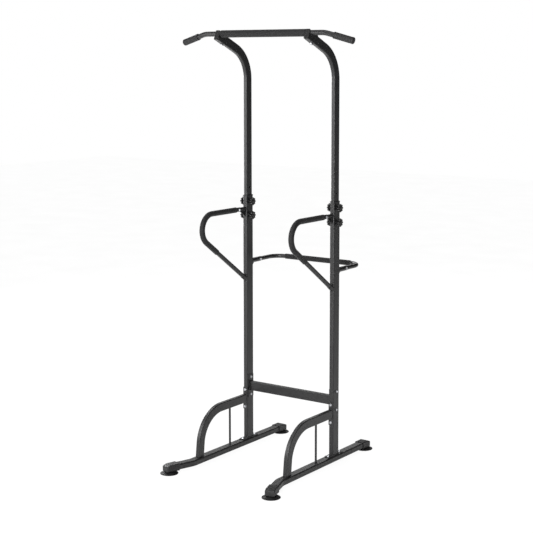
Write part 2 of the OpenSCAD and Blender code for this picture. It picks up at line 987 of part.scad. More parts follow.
// Half outline of a grip: a straight side with a rounded closed end
module grip_outline(outer) {
    square([outer, grip_l - grip_end]);
    square([outer - grip_end, grip_l]);
    translate([outer - grip_end, grip_l - grip_end])
        intersection() {
            circle(grip_end);
            square(grip_end);
        }
}

// ---- fastener sets ----

module crossbar_bolts() {
    color(bolt_silver)
        both_sides()
            crossbar_bolt_places()
                bolt(crossbar_grip);
}

module arch_bolts() {
    color(bolt_silver)
        both_sides()
            arch_bolt_places()
                bolt(arch_grip);
}

module foot_bolts() {
    color(bolt_silver)
        foot_bolt_places()
            bolt(foot_grip);
}

module dip_bolts() {
    color(bolt_silver)
        both_sides()
            dip_bolt_place()
                bolt(dip_grip);
}

module rear_bar_bolts() {
    color(bolt_silver)
        both_sides()
            rear_bolt_place()
                bolt(rear_grip);
}

module frame_nuts() {
    color(bolt_silver) {
        both_sides() {
            crossbar_bolt_places()
                nut(crossbar_grip);
            arch_bolt_places()
                nut(arch_grip);
            dip_bolt_place()
                nut(dip_grip);
            rear_bolt_place()
                nut(rear_grip);
        }
        foot_bolt_places()
            nut(foot_grip);
    }
}

module bracket_bolts() {
    color(bolt_silver)
        both_sides()
            bracket_bolt_place()
                bolt(bracket_grip);
}

module bracket_nuts() {
    color(bolt_silver)
        both_sides()
            bracket_bolt_place()
                nut(bracket_grip);
}

base_tube(left);  // base_tube_left
base_tube(right);  // base_tube_right
front_cap(left);  // front_cap_left
front_cap(right);  // front_cap_right
rear_cap(left);  // rear_cap_left
rear_cap(right);  // rear_cap_right
front_cup(left);  // front_cup_left
front_cup(right);  // front_cup_right
rear_cup(left);  // rear_cup_left
rear_cup(right);  // rear_cup_right
cup_studs();
arch_brace(left);  // arch_brace_left
arch_brace(right);  // arch_brace_right
brace_rods();
lower_upright(left);  // lower_upright_left
lower_upright(right);  // lower_upright_right
guide_bush(left);  // guide_bush_left
guide_bush(right);  // guide_bush_right
weld_nuts();
crossbar();
crossbar_bolts();
arch_bolts();
foot_bolts();
dip_bolts();
rear_bar_bolts();
frame_nuts();
dip_handle(left);  // dip_handle_left
dip_handle(right);  // dip_handle_right
dip_foam(left);  // dip_foam_left
dip_foam(right);  // dip_foam_right
rear_bar();
rear_bar_foam();
upper_tube(left);  // upper_tube_left
upper_tube(right);  // upper_tube_right
tube_shoes();
bar_bracket(left);  // bar_bracket_left
bar_bracket(right);  // bar_bracket_right
pull_up_bar();
bar_foam();
bar_grip(left);  // bar_grip_left
bar_grip(right);  // bar_grip_right
bracket_bolts();
bracket_nuts();
lock_knob(left, 1, 1);  // knob_left_upper_outer
lock_knob(left, 1, -1);  // knob_left_upper_inner
lock_knob(left, -1, 1);  // knob_left_lower_outer
lock_knob(left, -1, -1);  // knob_left_lower_inner
lock_knob(right, 1, 1);  // knob_right_upper_outer
lock_knob(right, 1, -1);  // knob_right_upper_inner
lock_knob(right, -1, 1);  // knob_right_lower_outer
lock_knob(right, -1, -1);  // knob_right_lower_inner
knob_washer(left, 1, 1);  // washer_left_upper_outer
knob_washer(left, 1, -1);  // washer_left_upper_inner
knob_washer(left, -1, 1);  // washer_left_lower_outer
knob_washer(left, -1, -1);  // washer_left_lower_inner
knob_washer(right, 1, 1);  // washer_right_upper_outer
knob_washer(right, 1, -1);  // washer_right_upper_inner
knob_washer(right, -1, 1);  // washer_right_lower_outer
knob_washer(right, -1, -1);  // washer_right_lower_inner
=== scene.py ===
import json
import math

import bmesh
import bpy
from mathutils import Matrix, Vector, noise


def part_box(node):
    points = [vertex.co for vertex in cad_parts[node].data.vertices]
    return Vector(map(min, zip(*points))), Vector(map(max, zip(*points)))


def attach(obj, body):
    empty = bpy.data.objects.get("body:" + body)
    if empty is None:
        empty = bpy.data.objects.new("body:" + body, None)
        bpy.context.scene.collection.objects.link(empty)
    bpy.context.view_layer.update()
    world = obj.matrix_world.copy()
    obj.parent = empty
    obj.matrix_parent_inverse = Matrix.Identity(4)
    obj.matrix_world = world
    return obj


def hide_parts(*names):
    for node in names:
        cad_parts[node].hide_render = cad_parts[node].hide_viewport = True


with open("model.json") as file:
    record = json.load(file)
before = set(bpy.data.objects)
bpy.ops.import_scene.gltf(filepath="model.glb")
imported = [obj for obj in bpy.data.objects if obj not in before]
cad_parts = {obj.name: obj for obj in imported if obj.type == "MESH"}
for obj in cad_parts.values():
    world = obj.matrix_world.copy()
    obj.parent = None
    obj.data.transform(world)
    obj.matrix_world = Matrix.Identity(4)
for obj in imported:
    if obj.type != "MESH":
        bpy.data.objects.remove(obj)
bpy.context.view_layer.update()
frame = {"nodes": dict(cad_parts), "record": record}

nodes = frame["nodes"]
mm = 0.001
sides = {"left": -1, "right": 1}
print("power tower: frame loaded,", len(nodes), "nodes")


# places that several pieces share, taken from the frame
def middle(name):
    low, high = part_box(name)
    return (low + high) / 2


uprightX = middle("guide_bush_right").x
uprightY = middle("guide_bush_right").y
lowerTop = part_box("lower_upright_right")[1].z
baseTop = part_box("brace_rods")[0].z
upperDepth = 45  # the upper tube from front to back, mm


def toLinear(hexColour):
    parts = [int(hexColour[i : i + 2], 16) / 255 for i in (1, 3, 5)]
    return tuple(c / 12.92 if c <= 0.04045 else ((c + 0.055) / 1.055) ** 2.4 for c in parts) + (1.0,)


def addNode(tree, kind, settings=None, links=None):
    node = tree.nodes.new(kind)
    for name, value in (settings or {}).items():
        if isinstance(name, str) and hasattr(node, name):
            setattr(node, name, value)
        else:
            node.inputs[name].default_value = value
    for name, source in (links or {}).items():
        tree.links.new(source, node.inputs[name])
    return node


def startMaterial(name):
    material = bpy.data.materials.new(name)
    material.use_nodes = True
    tree = material.node_tree
    tree.nodes.clear()
    place = addNode(tree, "ShaderNodeTexCoord").outputs["Object"]
    return material, tree, place


def grain(tree, place, sizeMm, detail=2.0, stretch=None):
    # noise with features of about sizeMm, pulled out along one axis where the surface was brushed or drawn
    source = place
    if stretch:
        source = addNode(tree, "ShaderNodeMapping", {"Scale": stretch}, {"Vector": place}).outputs[0]
    settings = {"Scale": 1 / (sizeMm * mm), "Detail": detail, "Roughness": 0.55}
    return addNode(tree, "ShaderNodeTexNoise", settings, {"Vector": source}).outputs[0]


def cells(tree, place, sizeMm):
    return addNode(tree, "ShaderNodeTexVoronoi", {"Scale": 1 / (sizeMm * mm)}, {"Vector": place}).outputs[0]


def blendTwo(tree, factor, first, second):
    return addNode(
        tree, "ShaderNodeMix", {"data_type": "RGBA", 6: toLinear(first), 7: toLinear(second)}, {0: factor}
    ).outputs[2]


def between(tree, source, low, high, fromLow=0.3, fromHigh=0.7):
    return addNode(
        tree,
        "ShaderNodeMapRange",
        {"From Min": fromLow, "From Max": fromHigh, "To Min": low, "To Max": high},
        {"Value": source},
    ).outputs[0]


def relief(tree, height, strength, depthMm, over=None, invert=False):
    # a bump, on top of another normal if there is one
    settings = {"Strength": strength, "Distance": depthMm * mm, "invert": invert}
    links = {"Height": height}
    if over:
        links["Normal"] = over
    return addNode(tree, "ShaderNodeBump", settings, links).outputs[0]


def mottle(tree, fine, share, broad, low, high, look):
    # the colours of a look, laid out by a broad cloud with a share of a finer pattern
    tone = addNode(tree, "ShaderNodeMath", {"operation": "MULTIPLY_ADD", 1: share}, {0: fine})
    tree.links.new(between(tree, broad, low, high), tone.inputs[2])
    return blendTwo(tree, tone.outputs[0], look["dark"], look["light"])


def closeMaterial(tree, colour, roughness, normal, settings):
    links = {"Base Color": colour, "Roughness": roughness, "Normal": normal}
    shader = addNode(tree, "ShaderNodeBsdfPrincipled", settings, links)
    addNode(tree, "ShaderNodeOutputMaterial", None, {"Surface": shader.outputs[0]})


powder = {
    "dark": "#0c0c0d",
    "light": "#131314",
    "roughness": (0.36, 0.46),
    "peelMm": 3.0,
    "grainMm": 0.9,
    "cloudMm": 70,
    "edgeMm": 0.7,
}


def makePowderCoat():
    # satin black polyester powder coat on mild steel, sprayed and baked: a soft sheen broken by orange peel,
    # with slightly thinner, shinier film along the edges
    material, tree, place = startMaterial("satinPowderCoat")
    cloud = grain(tree, place, powder["cloudMm"], 3.0)
    peel = grain(tree, place, powder["peelMm"], 1.0)  # real orange peel is 1 to 3 mm from crest to crest
    fine = grain(tree, place, powder["grainMm"], 2.0)
    colour = mottle(tree, fine, 0.5, cloud, -0.05, 0.55, powder)
    roughness = between(tree, peel, *powder["roughness"])
    rounded = addNode(tree, "ShaderNodeBevel", {"samples": 4, "Radius": powder["edgeMm"] * mm})
    normal = relief(tree, fine, strength=0.28, depthMm=0.06, over=rounded.outputs[0])
    wavy = relief(tree, peel, strength=0.35, depthMm=0.12, over=normal)
    film = {"IOR": 1.5, "Coat Weight": 0.12, "Coat Roughness": 0.3}
    closeMaterial(tree, colour, roughness, wavy, film)
    return material


capPlastic = {
    "dark": "#0f0f10",
    "light": "#181819",
    "roughness": (0.42, 0.58),
    "textureMm": 0.8,
    "cloudMm": 25,
    "flowMm": 6,
}


def makeCapPlastic():
    # injection-moulded polypropylene with a spark-eroded texture: fine even pits and a low sheen
    material, tree, place = startMaterial("sparkTexturedPolypropylene")
    pits = cells(tree, place, capPlastic["textureMm"])
    cloud = grain(tree, place, capPlastic["cloudMm"], 3.0)
    flow = grain(tree, place, capPlastic["flowMm"], 2.0, (1.0, 0.25, 1.0))  # faint marks from the mould gate
    colour = mottle(tree, flow, 0.35, cloud, 0.0, 0.6, capPlastic)
    roughness = between(tree, cloud, *capPlastic["roughness"])
    normal = relief(tree, pits, strength=0.3, depthMm=0.08)
    closeMaterial(tree, colour, roughness, normal, {"IOR": 1.49})
    return material


knobPlastic = {"dark": "#050506", "light": "#0b0b0c", "roughness": (0.14, 0.24), "cloudMm": 14, "hairMm": 1.2}


def makeKnobPlastic():
    # polished black ABS: sharp highlights with hairline handling marks
    material, tree, place = startMaterial("polishedBlackAbs")
    cloud = grain(tree, place, knobPlastic["cloudMm"], 3.0)
    hairlines = grain(tree, place, knobPlastic["hairMm"], 3.0, (1.0, 1.0, 9.0))
    colour = blendTwo(tree, between(tree, cloud, 0.0, 1.0), knobPlastic["dark"], knobPlastic["light"])
    roughness = between(tree, hairlines, *knobPlastic["roughness"])
    normal = relief(tree, hairlines, strength=0.06, depthMm=0.05)
    polish = {"IOR": 1.5, "Coat Weight": 0.1, "Coat Roughness": 0.08}
    closeMaterial(tree, colour, roughness, normal, polish)
    return material


cupRubber = {"dark": "#080809", "light": "#101011", "roughness": (0.45, 0.65), "bloomMm": 11, "grainMm": 1.0}


def makeCupRubber():
    # moulded natural rubber with carbon black: smooth, with a little cloudy bloom
    material, tree, place = startMaterial("mouldedBlackRubber")
    bloom = grain(tree, place, cupRubber["bloomMm"], 4.0)
    fine = grain(tree, place, cupRubber["grainMm"], 2.0)
    colour = blendTwo(tree, between(tree, bloom, 0.0, 1.0), cupRubber["dark"], cupRubber["light"])
    roughness = between(tree, bloom, *cupRubber["roughness"])
    normal = relief(tree, fine, strength=0.15, depthMm=0.05)
    closeMaterial(tree, colour, roughness, normal, {"IOR": 1.52, "Specular IOR Level": 0.35})
    return material


foamLook = {
    "dark": "#101011",
    "light": "#1a1a1b",
    "roughness": (0.6, 0.75),
    "cellMm": 1.4,
    "blotchMm": 30,
    "skinMm": 4.5,
}


def makeFoam():
    # closed-cell nitrile foam with its moulded skin: matt, fine cells just showing through, a faint sheen
    material, tree, place = startMaterial("closedCellNitrileFoam")
    pores = cells(tree, place, foamLook["cellMm"])  # real cells are about 0.5 mm, drawn coarser to show
    blotch = grain(tree, place, foamLook["blotchMm"], 4.0)
    skin = grain(tree, place, foamLook["skinMm"], 3.0)
    colour = mottle(tree, pores, 0.45, blotch, 0.0, 0.6, foamLook)
    roughness = between(tree, blotch, *foamLook["roughness"])
    pitted = relief(tree, pores, strength=0.5, depthMm=0.18, invert=True)
    soft = relief(tree, skin, strength=0.4, depthMm=0.3, over=pitted)
    sheen = {"IOR": 1.4, "Sheen Weight": 0.05, "Sheen Roughness": 0.5, "Specular IOR Level": 0.45}
    closeMaterial(tree, colour, roughness, soft, sheen)
    return material


gripLook = {"dark": "#0e0e0f", "light": "#19191a", "roughness": (0.5, 0.75), "wearMm": 9, "grainMm": 0.8}


def makeGripRubber():
    # dip-moulded soft PVC grip: matt, a little shinier in patches where hands polish it
    material, tree, place = startMaterial("softPvcGrip")
    worn = grain(tree, place, gripLook["wearMm"], 3.0)
    fine = grain(tree, place, gripLook["grainMm"], 2.0)
    colour = blendTwo(tree, between(tree, worn, 0.0, 1.0), gripLook["dark"], gripLook["light"])
    roughness = between(tree, worn, *gripLook["roughness"])
    normal = relief(tree, fine, strength=0.3, depthMm=0.08)
    closeMaterial(tree, colour, roughness, normal, {"IOR": 1.5})
    return material


zincLook = {
    "dark": "#a2a4a8",
    "light": "#cfd0d3",
    "roughness": (0.25, 0.42),
    "crystalMm": 1.6,
    "cloudMm": 3.5,
    "turningMm": 0.7,
}


def makeZinc():
    # bright zinc-plated steel, passivated clear: pale and cool, cloudy crystals and faint turning marks
    material, tree, place = startMaterial("brightZincPlate")
    crystal = cells(tree, place, zincLook["crystalMm"])
    cloud = grain(tree, place, zincLook["cloudMm"], 3.0)
    turning = grain(tree, place, zincLook["turningMm"], 2.0, (6.0, 1.0, 1.0))
    colour = blendTwo(tree, between(tree, cloud, 0.0, 1.0), zincLook["dark"], zincLook["light"])
    roughness = between(tree, crystal, *zincLook["roughness"], 0.0, 0.6)
    normal = relief(tree, turning, strength=0.12, depthMm=0.04)
    closeMaterial(tree, colour, roughness, normal, {"Metallic": 1.0})
    return material


finishes = {
    "powder_coat": makePowderCoat(),
    "black_plastic": makeCapPlastic(),
    "cup_rubber": makeCupRubber(),
    "zinc_steel": makeZinc(),
    "foam": makeFoam(),
    "grip_rubber": makeGripRubber(),
    "knob_plastic": makeKnobPlastic(),
}
for row in frame["record"]["subparts"]:
    mesh = nodes[row["node"]].data
    mesh.materials.clear()
    mesh.materials.append(finishes[row["material_slot"]])
print("materials:", len(finishes), "finishes on the frame's nodes")


def lathe(bm, outline, matrix, steps):
    # spins a half outline of (radius, height) in mm about local Z, then puts it in place
    ends = [bm.verts.new((r * mm, 0, z * mm)) for r, z in outline]
    edges = [bm.edges.new(pair) for pair in zip(ends, ends[1:])]
    before = set(bm.verts) - set(ends)
    bmesh.ops.spin(
        bm, geom=ends + edges, cent=(0, 0, 0), axis=(0, 0, 1), angle=math.tau, steps=steps, use_merge=True
    )
    made = [v for v in bm.verts if v not in before]
    bmesh.ops.remove_doubles(bm, verts=made, dist=1e-6)
    made = [v for v in bm.verts if v not in before]
    bmesh.ops.transform(bm, matrix=matrix, verts=made)
    return made


def sweepRing(bm, radius, frames, steps, sizes=None):
    # a round loop carried through the frames by extruding its edges; returns its first and last edges
    loop = bmesh.ops.create_circle(bm, segments=steps, radius=radius, matrix=frames[0])["verts"]
    edges = list({e for v in loop for e in v.link_edges})
    first = edges
    for k in range(1, len(frames)):
        made = bmesh.ops.extrude_edge_only(bm, edges=edges)["geom"]
        loop = [g for g in made if isinstance(g, bmesh.types.BMVert)]
        found = set(loop)
        edges = [g for g in made if isinstance(g, bmesh.types.BMEdge) and set(g.verts) <= found]
        size = sizes[k] / sizes[k - 1] if sizes else 1
        bmesh.ops.transform(
            bm, matrix=frames[k] @ Matrix.Scale(size, 4) @ frames[k - 1].inverted(), verts=loop
        )
    return first, edges


def pathFrames(start, path, step):
    # frames along straight runs (length) and bends (radius, degrees) towards local +X
    frames = [start.copy()]
    here = start.copy()
    for leg in path:
        if len(leg) == 1:
            count = max(1, round(leg[0] / step))
            frames += [here @ Matrix.Translation((0, 0, leg[0] * k / count)) for k in range(1, count + 1)]
        else:
            radius, angle = leg[0], math.radians(leg[1])
            count = max(2, round(radius * angle / step))
            frames += [
                here
                @ Matrix.Translation((radius, 0, 0))
                @ Matrix.Rotation(angle * k / count, 4, "Y")
                @ Matrix.Translation((-radius, 0, 0))
                for k in range(1, count + 1)
            ]
        here = frames[-1].copy()
    return frames


def axes(origin, x, z):
    # a frame with its local X and Z along the given directions
    zAxis = Vector(z).normalized()
    xAxis = (Vector(x) - zAxis * Vector(x).dot(zAxis)).normalized()
    yAxis = zAxis.cross(xAxis)
    turned = Matrix((xAxis, yAxis, zAxis)).transposed().to_4x4()
    return Matrix.Translation(origin) @ turned


def finishPiece(bm, name, slot, body, smooth, standsFor=()):
    bmesh.ops.remove_doubles(bm, verts=bm.verts, dist=2e-6)
    bmesh.ops.recalc_face_normals(bm, faces=bm.faces)
    mesh = bpy.data.meshes.new(name)
    bm.to_mesh(mesh)
    bm.free()
    mesh.shade_smooth()
    mesh.set_sharp_from_angle(angle=math.radians(smooth))
    mesh.materials.append(finishes[slot])
    piece = bpy.data.objects.new(name, mesh)
    bpy.context.scene.collection.objects.link(piece)
    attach(piece, body)
    if standsFor:
        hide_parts(*standsFor)
    return piece


def islands(name):
    # the separate solids of a CAD node, each as a list of points
    bm = bmesh.new()
    bm.from_mesh(nodes[name].data)
    bmesh.ops.remove_doubles(bm, verts=bm.verts, dist=1e-5)
    left, found = set(bm.verts), []
    while left:
        stack, points = [left.pop()], []
        while stack:
            v = stack.pop()
            points.append(v.co.copy())
            for e in v.link_edges:
                other = e.other_vert(v)
                if other in left:
                    left.remove(other)
                    stack.append(other)
        found.append(points)
    bm.free()
    return sorted(found, key=lambda p: tuple(round(x, 4) for x in sum(p, Vector()) / len(p)))


def shaftFrame(points, axis):
    # a round or hexagonal solid about axis: the frame of its low end, its length, whether its head is there
    slanted = Vector((0.37, 0.61, 0.23))  # parallel to no axis of a fastener
    turned = axes((0, 0, 0), slanted, axis)
    local = [turned.inverted() @ p for p in points]
    low = [min(p[k] for p in local) for k in range(3)]
    high = [max(p[k] for p in local) for k in range(3)]
    centre = Vector(((low[0] + high[0]) / 2, (low[1] + high[1]) / 2, 0))
    wide = [p.z for p in local if (p.xy - centre.xy).length > boltSize["headFrom"] * mm]
    headLow = bool(wide) and sum(wide) / len(wide) < (low[2] + high[2]) / 2
    return turned @ Matrix.Translation((centre.x, centre.y, low[2])), high[2] - low[2], headLow


boltSize = {
    "acrossFlats": 12,
    "headHeight": 4,
    "flangeRadius": 6.9,
    "flangeHeight": 0.9,
    "shankRadius": 4,
    "threadPitch": 1.25,
    "threadLength": 16,
    "threadDepth": 0.55,
    "chamfer": 0.55,
    "headFrom": 5.5,  # only a head reaches further from the axis
}


def hexPrism(bm, matrix, low, high, bothEnds):
    # a hexagon with its corners turned off at the top, or at both ends
    radius = boltSize["acrossFlats"] / math.sqrt(3) * mm
    made = bmesh.ops.create_cone(
        bm,
        cap_ends=True,
        segments=6,
        radius1=radius,
        radius2=radius,
        depth=(high - low) * mm,
        matrix=matrix @ Matrix.Translation((0, 0, (low + high) / 2 * mm)),
    )["verts"]
    faces = {f for v in made for f in v.link_faces}
    ends = [f for f in faces if len(f.verts) == 6]
    if not bothEnds:
        flip = matrix.inverted()
        ends = [f for f in ends if (flip @ f.calc_center_median()).z > (low + high) / 2 * mm]
    rims = list({e for f in ends for e in f.edges})
    offset = boltSize["chamfer"] * mm
    bmesh.ops.bevel(
        bm, geom=rims, offset=offset, segments=2, profile=0.5, affect="EDGES", material=-1, clamp_overlap=True
    )


def addBolt(bm, seat, grip):
    # seat: the frame under the head, with +Z along the shank
    head, flange = boltSize["headHeight"], boltSize["flangeHeight"]
    hexPrism(bm, seat @ Matrix.Rotation(math.pi, 4, "X"), flange - 0.1, head, False)
    wide = boltSize["flangeRadius"]
    lathe(bm, [(0, -flange), (wide - 0.6, -flange), (wide, -0.35), (wide, 0), (0, 0)], seat, 32)
    radius, pitch = boltSize["shankRadius"], boltSize["threadPitch"]
    tip = grip / mm
    smooth = max(1.0, tip - boltSize["threadLength"])
    outline = [(0, -0.2), (radius, -0.2), (radius, smooth)]
    z = smooth
    while z + pitch < tip - 1:
        outline += [(radius - boltSize["threadDepth"], z + pitch * 0.45), (radius, z + pitch * 0.9)]
        z += pitch
    outline += [(radius - 0.4, tip - 0.8), (radius - 1.1, tip), (0, tip)]
    lathe(bm, outline, seat, 20)


def thinAxis(points):
    # a nut's axis: the one of X, Y and Z that it is thinnest along
    spans = [max(p[k] for p in points) - min(p[k] for p in points) for k in range(3)]
    k = spans.index(min(spans))
    return Vector([1.0 if i == k else 0.0 for i in range(3)])


def fastenerSet(name, body, axis, nuts):
    bm = bmesh.new()
    head = boltSize["headHeight"] * mm
    for points in islands(name):
        low, length, headLow = shaftFrame(points, axis or thinAxis(points))
        if nuts:
            hexPrism(bm, low, 0, length / mm, True)
            continue
        if headLow:
            seat = low @ Matrix.Translation((0, 0, head))
        else:
            seat = low @ Matrix.Translation((0, 0, length - head)) @ Matrix.Rotation(math.pi, 4, "X")
        addBolt(bm, seat, length - head)
    finishPiece(bm, name.replace("_", "-") + "-turned", "zinc_steel", body, 30, (name,))


bracketTilt = math.radians(66.5)  # lean of the top runs of the upper tubes
acrossBracket = (0, -math.cos(bracketTilt), -math.sin(bracketTilt))
for name, body, axis, nuts in (
    ("crossbar_bolts", "frame", (1, 0, 0), False),
    ("arch_bolts", "frame", (0, 1, 0), False),
    ("foot_bolts", "frame", (0, 0, -1), False),
    ("dip_bolts", "frame", (1, 0, 0), False),
    ("rear_bar_bolts", "frame", (1, 0, 0), False),
    ("bracket_bolts", "upper_frame", acrossBracket, False),
    ("frame_nuts", "frame", None, True),  # these nuts lie in several directions
    ("bracket_nuts", "upper_frame", acrossBracket, True),
):
    fastenerSet(name, body, axis, nuts)
print("fasteners: bolts and nuts turned")


capSize = {
    "length": 70,
    "noseRadius": 3.5,
    "longRadius": 5,
    "wall": 3.1,
    "depth": 52,
    "slopeLength": 20,
    "slopeDrop": 7,
    "noseTaper": 0.02,
    "collar": 0.5,
    "collarLength": 5,
    "collarStep": 2,
    "over": 24,
    "toeAngle": 18,
}
capWidth = (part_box("rear_cap_right")[1].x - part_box("rear_cap_right")[0].x) / mm
capHeight = (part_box("front_cap_right")[1].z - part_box("front_cap_right")[0].z) / mm


def footFrame(end, side):
    # the centre of a foot on the floor, with -Y out of the end of the base tube
    centre = middle(f"{end}_cup_{side}")
    turn = math.pi if end == "rear" else math.radians(capSize["toeAngle"]) * sides[side]
    return Matrix.Translation((centre.x, centre.y, 0)) @ Matrix.Rotation(turn, 4, "Z")


def makeEndCap(end, side):
    bm = bmesh.new()
    c = capSize
    outer, inner = -c["length"] / 2, c["length"] / 2
    slopeStart, collarEdge = outer + c["slopeLength"], inner - c["collarLength"]
    size = Matrix.Diagonal((capWidth * mm, c["length"] * mm, capHeight * mm, 1))
    bmesh.ops.create_cube(bm, size=1, matrix=size)
    longEdges = [e for e in bm.edges if abs(e.verts[0].co.y - e.verts[1].co.y) > mm]
    offset = c["longRadius"] * mm
    bmesh.ops.bevel(
        bm, geom=longEdges, offset=offset, segments=6, profile=0.5, affect="EDGES", material=-1
    )
    for cut in (slopeStart, collarEdge, collarEdge - c["collarStep"]):
        everything = bm.verts[:] + bm.edges[:] + bm.faces[:]
        bmesh.ops.bisect_plane(bm, geom=everything, plane_co=(0, cut * mm, 0), plane_no=(0, 1, 0))
    for v in bm.verts:  # the nose slopes down towards its outer end
        out = slopeStart * mm - v.co.y
        if out > 0:
            share = out / (c["slopeLength"] * mm)
            lift = (v.co.z / (capHeight * mm) + 0.5) * c["slopeDrop"] * mm
            v.co.z -= share * lift
            v.co.x *= 1 - c["noseTaper"] * share
        if v.co.y < (collarEdge - c["collarStep"] / 2) * mm:  # the collar at the mouth stands proud
            v.co.x *= 1 - 2 * c["collar"] / capWidth
            v.co.z *= 1 - 2 * c["collar"] / capHeight
    nose = [f for f in bm.faces if f.normal.y < -0.9 and len(f.verts) > 8]
    rim = list({e for f in nose for e in f.edges})
    offset = c["noseRadius"] * mm
    bmesh.ops.bevel(bm, geom=rim, offset=offset, segments=4, profile=0.5, affect="EDGES", material=-1)
    mouth = [f for f in bm.faces if f.normal.y > 0.9 and len(f.verts) > 8]
    bmesh.ops.inset_region(bm, faces=mouth, thickness=c["wall"] * mm, use_even_offset=True)
    pushed = bmesh.ops.extrude_face_region(bm, geom=mouth)["geom"]
    bmesh.ops.delete(bm, geom=mouth, context="FACES")
    floor = [g for g in pushed if isinstance(g, bmesh.types.BMVert)]
    bmesh.ops.translate(bm, verts=floor, vec=(0, -c["depth"] * mm, 0))
    low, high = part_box(f"{end}_cap_{side}")
    shift = Matrix.Translation((0, (inner - c["over"]) * mm, (low.z + high.z) / 2))
    bmesh.ops.transform(bm, matrix=footFrame(end, side) @ shift, verts=bm.verts)
    finishPiece(bm, f"end-cap-{end}-{side}", "black_plastic", "frame", 32, (f"{end}_cap_{side}",))


cupSize = {"radius": 45, "neck": 21, "hollow": 3}


def makeCup(end, side):
    r, neck = cupSize["radius"], cupSize["neck"]
    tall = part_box(f"{end}_cup_{side}")[1].z / mm
    outline = [  # from the middle of the hollow underside, round the lip, up to the neck
        (0, cupSize["hollow"]),
        (12, cupSize["hollow"] - 0.2),
        (26, 1.9),
        (37, 0.7),
        (42.5, 0.0),
        (44.2, 0.0),
        (r, 0.7),
        (r, 2.2),
        (44.5, 3.0),
        (43.2, 3.5),
        (41.5, 3.8),
        (40.5, 4.3),
        (39.5, 4.4),
        (38.5, 4.3),
        (33, 6.2),
        (32.2, 6.9),
        (31.2, 7.1),
        (30.2, 7.1),
        (26.5, 8.6),
        (23.5, 9.6),
        (neck + 0.6, 10.1),
        (neck, 10.4),
        (neck - 0.2, tall),
        (0, tall),
    ]
    bm = bmesh.new()
    lathe(bm, outline, footFrame(end, side), 72)
    finishPiece(bm, f"suction-cup-{end}-{side}", "cup_rubber", "frame", 50, (f"{end}_cup_{side}",))


for side in sides:
    for end in ("front", "rear"):
        makeEndCap(end, side)
        makeCup(end, side)
print("feet: caps and suction cups")


bushSize = {
    "lipHeight": 6,
    "lipCorner": 6.5,
    "overhang": 1.5,  # of the lip, past the tube it sits on
    "round": 1.2,
    "sleeve": 20,
    "sleeveCorner": 3.7,
    "boreCorner": 4.3,
    "gap": 0.3,
    "fit": 0.1,
    "tubeWall": 1.2,
}


def roundedLoop(bm, width, depth, corner, z, matrix):
    # a rounded rectangle as a closed loop of edges
    made = bmesh.ops.create_grid(bm, x_segments=1, y_segments=1, size=0.5, matrix=Matrix.Identity(4))["verts"]
    bmesh.ops.scale(bm, vec=(width * mm, depth * mm, 1), verts=made)
    bevelled = bmesh.ops.bevel(
        bm, geom=made, offset=corner * mm, segments=6, profile=0.5, affect="VERTICES", material=-1
    )
    loop = sorted(set(bevelled["verts"]), key=lambda v: math.atan2(v.co.y, v.co.x))
    faces = {f for v in loop for f in v.link_faces}
    bmesh.ops.delete(bm, geom=list(faces), context="FACES_ONLY")
    bmesh.ops.transform(bm, matrix=matrix @ Matrix.Translation((0, 0, z * mm)), verts=loop)
    return list({e for v in loop for e in v.link_edges})


def makeBush(side):
    bm = bmesh.new()
    place = Matrix.Translation((uprightX * sides[side], uprightY, lowerTop))
    b = bushSize
    low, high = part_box(f"upper_tube_{side}")
    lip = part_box(f"guide_bush_{side}")
    lipWidth, lipDepth = (lip[1].x - lip[0].x) / mm, (lip[1].y - lip[0].y) / mm
    innerW = (high.x - low.x) / mm + 2 * b["gap"]
    innerD = upperDepth + 2 * b["gap"]
    inset = 2 * (b["overhang"] + b["tubeWall"] + b["fit"])
    lowerW, lowerD = lipWidth - inset, lipDepth - inset
    top, corner, bore = b["lipHeight"], b["lipCorner"], b["boreCorner"]
    flatW, flatD = lipWidth - 2 * b["round"], lipDepth - 2 * b["round"]
    rings = [  # width, depth, corner radius, height: up the bore, over the lip, down the sleeve
        (innerW, innerD, bore, top - b["round"]),
        (innerW + 0.6, innerD + 0.6, bore + 0.3, top - 0.35),
        (innerW + 1.6, innerD + 1.6, bore + 0.7, top),
        (flatW, flatD, corner - 1, top),
        (lipWidth - 0.6, lipDepth - 0.6, corner - 0.3, top - 0.4),
        (lipWidth, lipDepth, corner, top - b["round"]),
        (lipWidth, lipDepth, corner, 0.4),
        (lipWidth - 0.6, lipDepth - 0.6, corner - 0.3, 0.02),
        (lowerW, lowerD, b["sleeveCorner"], 0.02),
        (lowerW, lowerD, b["sleeveCorner"], -b["sleeve"]),
        (innerW, innerD, bore, -b["sleeve"]),
    ]
    loops = [roundedLoop(bm, w, d, c, z, place) for w, d, c, z in rings]
    for first, second in zip(loops, loops[1:] + loops[:1]):
        bmesh.ops.bridge_loops(bm, edges=first + second)
    finishPiece(bm, f"guide-bush-{side}-moulded", "black_plastic", "frame", 35, (f"guide_bush_{side}",))


for side in sides:
    makeBush(side)
print("guide bushes")


knobSize = {
    "radius": 21,
    "lobeRadius": 4.6,
    "lobes": 8,
    "hollow": 1.1,
    "hub": 12.6,  # radius inside which the lobes have faded out
    "shoulder": 4.6,  # from the rim in to where the lobes are full
    "thickness": 11,
    "neckRadius": 11,
    "neckLength": 3,
    "studRadius": 4.9,
    "threadPitch": 1.5,
    "threadDepth": 0.75,
}


def lobedRadius(angle):
    # the outer edge of the star: round lobes joined by shallow hollows
    k = knobSize
    reach = k["radius"] - k["lobeRadius"]
    turn = math.tau / k["lobes"]
    off = (angle + turn / 2) % turn - turn / 2
    inside = k["lobeRadius"] ** 2 - (reach * math.sin(off)) ** 2
    lobe = reach * math.cos(off) + math.sqrt(inside) if inside > 0 else 0
    hollow = reach - k["hollow"] * math.cos((abs(off) - turn / 2) / (turn / 2) * math.pi / 2)
    return max(lobe, hollow)


